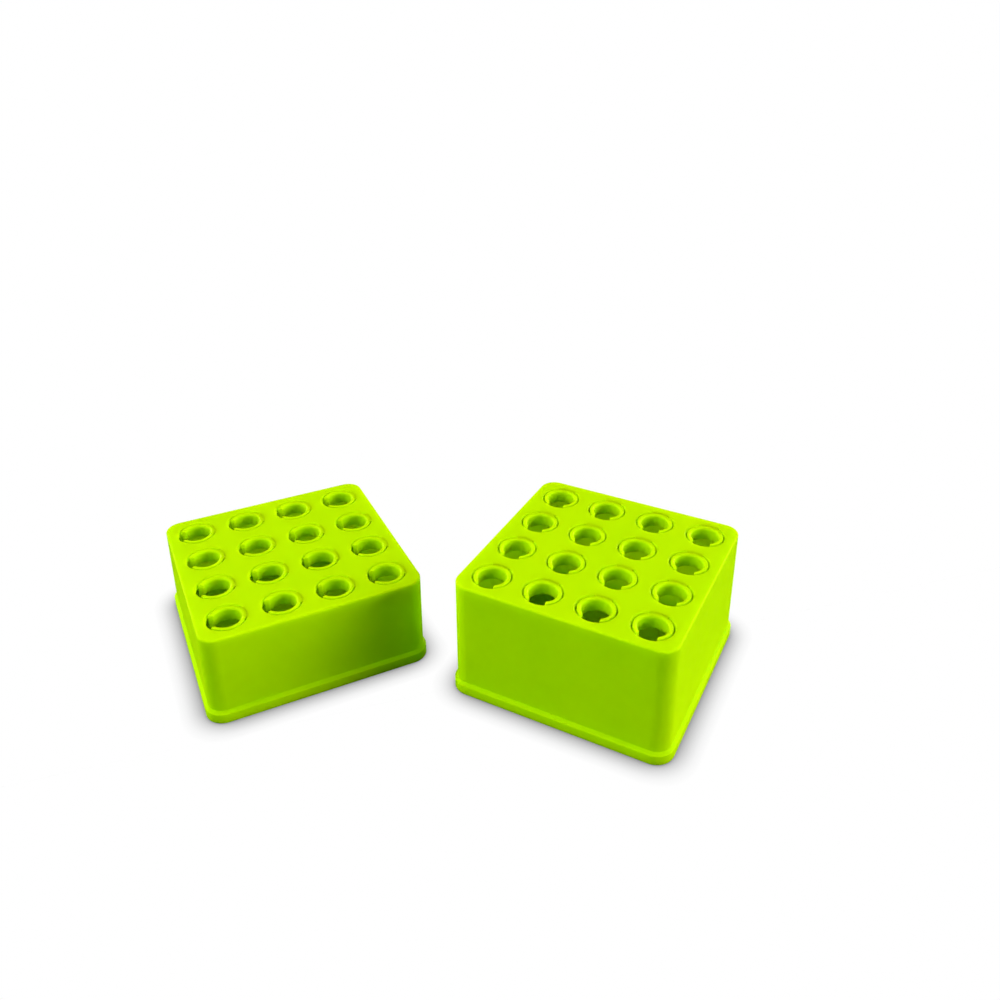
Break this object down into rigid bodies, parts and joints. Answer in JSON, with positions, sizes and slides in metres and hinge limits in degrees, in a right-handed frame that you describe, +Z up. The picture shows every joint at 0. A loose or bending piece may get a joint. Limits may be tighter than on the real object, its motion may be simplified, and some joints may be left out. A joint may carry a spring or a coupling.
{
  "type": "tube block set",
  "caption": "Tall and short free-standing tube blocks: hollow square shells on a foot band, whose deck carries a grid of split clip collars that grip test tubes upright.",
  "frame": {"origin": "centre of the tall block's base, on the bench", "axes": "+Z up; the tall block's sides are square to X and Y, and its collars' slots face -Y; the short block stands to the left and in front, turned 36.3 degrees clockwise seen from above"},
  "size_m": [0.2575, 0.1658, 0.0564],
  "materials": {
    "shell": "satin moulded lime-green plastic with a very fine texture",
    "collar": "the same lime-green plastic as the shell",
    "floor": "the same lime-green plastic, seen in shade through the wells"
  },
  "bodies": {
    "tall_block": {"tall_shell": "shell", "tall_floor": "floor"},
    "short_block": {"short_shell": "shell", "short_floor": "floor"},
    "tall_clip_a1": {"tall_collar_a1": "collar"},
    "tall_clip_a2": {"tall_collar_a2": "collar"},
    "tall_clip_a3": {"tall_collar_a3": "collar"},
    "tall_clip_a4": {"tall_collar_a4": "collar"},
    "tall_clip_b1": {"tall_collar_b1": "collar"},
    "tall_clip_b2": {"tall_collar_b2": "collar"},
    "tall_clip_b3": {"tall_collar_b3": "collar"},
    "tall_clip_b4": {"tall_collar_b4": "collar"},
    "tall_clip_c1": {"tall_collar_c1": "collar"},
    "tall_clip_c2": {"tall_collar_c2": "collar"},
    "tall_clip_c3": {"tall_collar_c3": "collar"},
    "tall_clip_c4": {"tall_collar_c4": "collar"},
    "tall_clip_d1": {"tall_collar_d1": "collar"},
    "tall_clip_d2": {"tall_collar_d2": "collar"},
    "tall_clip_d3": {"tall_collar_d3": "collar"},
    "tall_clip_d4": {"tall_collar_d4": "collar"},
    "short_clip_a1": {"short_collar_a1": "collar"},
    "short_clip_a2": {"short_collar_a2": "collar"},
    "short_clip_a3": {"short_collar_a3": "collar"},
    "short_clip_a4": {"short_collar_a4": "collar"},
    "short_clip_b1": {"short_collar_b1": "collar"},
    "short_clip_b2": {"short_collar_b2": "collar"},
    "short_clip_b3": {"short_collar_b3": "collar"},
    "short_clip_b4": {"short_collar_b4": "collar"},
    "short_clip_c1": {"short_collar_c1": "collar"},
    "short_clip_c2": {"short_collar_c2": "collar"},
    "short_clip_c3": {"short_collar_c3": "collar"},
    "short_clip_c4": {"short_collar_c4": "collar"},
    "short_clip_d1": {"short_collar_d1": "collar"},
    "short_clip_d2": {"short_collar_d2": "collar"},
    "short_clip_d3": {"short_collar_d3": "collar"},
    "short_clip_d4": {"short_collar_d4": "collar"}
  },
  "joints": [
    {"name": "short_block_lift", "type": "slide", "parent": "tall_block", "child": "short_block", "axis": [0, 0, 1], "range_m": [0, 0.1]},
    {"name": "tall_clip_a1_flex", "type": "hinge", "parent": "tall_block", "child": "tall_clip_a1", "pos_m": [-0.036, -0.02734, 0.05515], "axis": [1, 0, 0], "range_deg": [-1.5, 1.5], "stiffness_Nm_per_rad": 0.005},
    {"name": "tall_clip_a2_flex", "type": "hinge", "parent": "tall_block", "child": "tall_clip_a2", "pos_m": [-0.012, -0.02734, 0.05515], "axis": [1, 0, 0], "range_deg": [-1.5, 1.5], "stiffness_Nm_per_rad": 0.005},
    {"name": "tall_clip_a3_flex", "type": "hinge", "parent": "tall_block", "child": "tall_clip_a3", "pos_m": [0.012, -0.02734, 0.05515], "axis": [1, 0, 0], "range_deg": [-1.5, 1.5], "stiffness_Nm_per_rad": 0.005},
    {"name": "tall_clip_a4_flex", "type": "hinge", "parent": "tall_block", "child": "tall_clip_a4", "pos_m": [0.036, -0.02734, 0.05515], "axis": [1, 0, 0], "range_deg": [-1.5, 1.5], "stiffness_Nm_per_rad": 0.005},
    {"name": "tall_clip_b1_flex", "type": "hinge", "parent": "tall_block", "child": "tall_clip_b1", "pos_m": [-0.036, -0.00334, 0.05515], "axis": [1, 0, 0], "range_deg": [-1.5, 1.5], "stiffness_Nm_per_rad": 0.005},
    {"name": "tall_clip_b2_flex", "type": "hinge", "parent": "tall_block", "child": "tall_clip_b2", "pos_m": [-0.012, -0.00334, 0.05515], "axis": [1, 0, 0], "range_deg": [-1.5, 1.5], "stiffness_Nm_per_rad": 0.005},
    {"name": "tall_clip_b3_flex", "type": "hinge", "parent": "tall_block", "child": "tall_clip_b3", "pos_m": [0.012, -0.00334, 0.05515], "axis": [1, 0, 0], "range_deg": [-1.5, 1.5], "stiffness_Nm_per_rad": 0.005},
    {"name": "tall_clip_b4_flex", "type": "hinge", "parent": "tall_block", "child": "tall_clip_b4", "pos_m": [0.036, -0.00334, 0.05515], "axis": [1, 0, 0], "range_deg": [-1.5, 1.5], "stiffness_Nm_per_rad": 0.005},
    {"name": "tall_clip_c1_flex", "type": "hinge", "parent": "tall_block", "child": "tall_clip_c1", "pos_m": [-0.036, 0.02066, 0.05515], "axis": [1, 0, 0], "range_deg": [-1.5, 1.5], "stiffness_Nm_per_rad": 0.005},
    {"name": "tall_clip_c2_flex", "type": "hinge", "parent": "tall_block", "child": "tall_clip_c2", "pos_m": [-0.012, 0.02066, 0.05515], "axis": [1, 0, 0], "range_deg": [-1.5, 1.5], "stiffness_Nm_per_rad": 0.005},
    {"name": "tall_clip_c3_flex", "type": "hinge", "parent": "tall_block", "child": "tall_clip_c3", "pos_m": [0.012, 0.02066, 0.05515], "axis": [1, 0, 0], "range_deg": [-1.5, 1.5], "stiffness_Nm_per_rad": 0.005},
    {"name": "tall_clip_c4_flex", "type": "hinge", "parent": "tall_block", "child": "tall_clip_c4", "pos_m": [0.036, 0.02066, 0.05515], "axis": [1, 0, 0], "range_deg": [-1.5, 1.5], "stiffness_Nm_per_rad": 0.005},
    {"name": "tall_clip_d1_flex", "type": "hinge", "parent": "tall_block", "child": "tall_clip_d1", "pos_m": [-0.036, 0.04466, 0.05515], "axis": [1, 0, 0], "range_deg": [-1.5, 1.5], "stiffness_Nm_per_rad": 0.005},
    {"name": "tall_clip_d2_flex", "type": "hinge", "parent": "tall_block", "child": "tall_clip_d2", "pos_m": [-0.012, 0.04466, 0.05515], "axis": [1, 0, 0], "range_deg": [-1.5, 1.5], "stiffness_Nm_per_rad": 0.005},
    {"name": "tall_clip_d3_flex", "type": "hinge", "parent": "tall_block", "child": "tall_clip_d3", "pos_m": [0.012, 0.04466, 0.05515], "axis": [1, 0, 0], "range_deg": [-1.5, 1.5], "stiffness_Nm_per_rad": 0.005},
    {"name": "tall_clip_d4_flex", "type": "hinge", "parent": "tall_block", "child": "tall_clip_d4", "pos_m": [0.036, 0.04466, 0.05515], "axis": [1, 0, 0], "range_deg": [-1.5, 1.5], "stiffness_Nm_per_rad": 0.005},
    {"name": "short_clip_a1_flex", "type": "hinge", "parent": "short_block", "child": "short_clip_a1", "pos_m": [-0.1843, -0.04812, 0.04175], "axis": [0.8059, -0.592, 0], "range_deg": [-1.5, 1.5], "stiffness_Nm_per_rad": 0.005},
    {"name": "short_clip_a2_flex", "type": "hinge", "parent": "short_block", "child": "short_clip_a2", "pos_m": [-0.16496, -0.06233, 0.04175], "axis": [0.8059, -0.592, 0], "range_deg": [-1.5, 1.5], "stiffness_Nm_per_rad": 0.005},
    {"name": "short_clip_a3_flex", "type": "hinge", "parent": "short_block", "child": "short_clip_a3", "pos_m": [-0.14561, -0.07654, 0.04175], "axis": [0.8059, -0.592, 0], "range_deg": [-1.5, 1.5], "stiffness_Nm_per_rad": 0.005},
    {"name": "short_clip_a4_flex", "type": "hinge", "parent": "short_block", "child": "short_clip_a4", "pos_m": [-0.12627, -0.09075, 0.04175], "axis": [0.8059, -0.592, 0], "range_deg": [-1.5, 1.5], "stiffness_Nm_per_rad": 0.005},
    {"name": "short_clip_b1_flex", "type": "hinge", "parent": "short_block", "child": "short_clip_b1", "pos_m": [-0.17009, -0.02878, 0.04175], "axis": [0.8059, -0.592, 0], "range_deg": [-1.5, 1.5], "stiffness_Nm_per_rad": 0.005},
    {"name": "short_clip_b2_flex", "type": "hinge", "parent": "short_block", "child": "short_clip_b2", "pos_m": [-0.15075, -0.04299, 0.04175], "axis": [0.8059, -0.592, 0], "range_deg": [-1.5, 1.5], "stiffness_Nm_per_rad": 0.005},
    {"name": "short_clip_b3_flex", "type": "hinge", "parent": "short_block", "child": "short_clip_b3", "pos_m": [-0.13141, -0.0572, 0.04175], "axis": [0.8059, -0.592, 0], "range_deg": [-1.5, 1.5], "stiffness_Nm_per_rad": 0.005},
    {"name": "short_clip_b4_flex", "type": "hinge", "parent": "short_block", "child": "short_clip_b4", "pos_m": [-0.11206, -0.0714, 0.04175], "axis": [0.8059, -0.592, 0], "range_deg": [-1.5, 1.5], "stiffness_Nm_per_rad": 0.005},
    {"name": "short_clip_c1_flex", "type": "hinge", "parent": "short_block", "child": "short_clip_c1", "pos_m": [-0.15588, -0.00944, 0.04175], "axis": [0.8059, -0.592, 0], "range_deg": [-1.5, 1.5], "stiffness_Nm_per_rad": 0.005},
    {"name": "short_clip_c2_flex", "type": "hinge", "parent": "short_block", "child": "short_clip_c2", "pos_m": [-0.13654, -0.02365, 0.04175], "axis": [0.8059, -0.592, 0], "range_deg": [-1.5, 1.5], "stiffness_Nm_per_rad": 0.005},
    {"name": "short_clip_c3_flex", "type": "hinge", "parent": "short_block", "child": "short_clip_c3", "pos_m": [-0.1172, -0.03785, 0.04175], "axis": [0.8059, -0.592, 0], "range_deg": [-1.5, 1.5], "stiffness_Nm_per_rad": 0.005},
    {"name": "short_clip_c4_flex", "type": "hinge", "parent": "short_block", "child": "short_clip_c4", "pos_m": [-0.09786, -0.05206, 0.04175], "axis": [0.8059, -0.592, 0], "range_deg": [-1.5, 1.5], "stiffness_Nm_per_rad": 0.005},
    {"name": "short_clip_d1_flex", "type": "hinge", "parent": "short_block", "child": "short_clip_d1", "pos_m": [-0.14167, 0.00991, 0.04175], "axis": [0.8059, -0.592, 0], "range_deg": [-1.5, 1.5], "stiffness_Nm_per_rad": 0.005},
    {"name": "short_clip_d2_flex", "type": "hinge", "parent": "short_block", "child": "short_clip_d2", "pos_m": [-0.12233, -0.0043, 0.04175], "axis": [0.8059, -0.592, 0], "range_deg": [-1.5, 1.5], "stiffness_Nm_per_rad": 0.005},
    {"name": "short_clip_d3_flex", "type": "hinge", "parent": "short_block", "child": "short_clip_d3", "pos_m": [-0.10299, -0.01851, 0.04175], "axis": [0.8059, -0.592, 0], "range_deg": [-1.5, 1.5], "stiffness_Nm_per_rad": 0.005},
    {"name": "short_clip_d4_flex", "type": "hinge", "parent": "short_block", "child": "short_clip_d4", "pos_m": [-0.08365, -0.03272, 0.04175], "axis": [0.8059, -0.592, 0], "range_deg": [-1.5, 1.5], "stiffness_Nm_per_rad": 0.005}
  ]
}
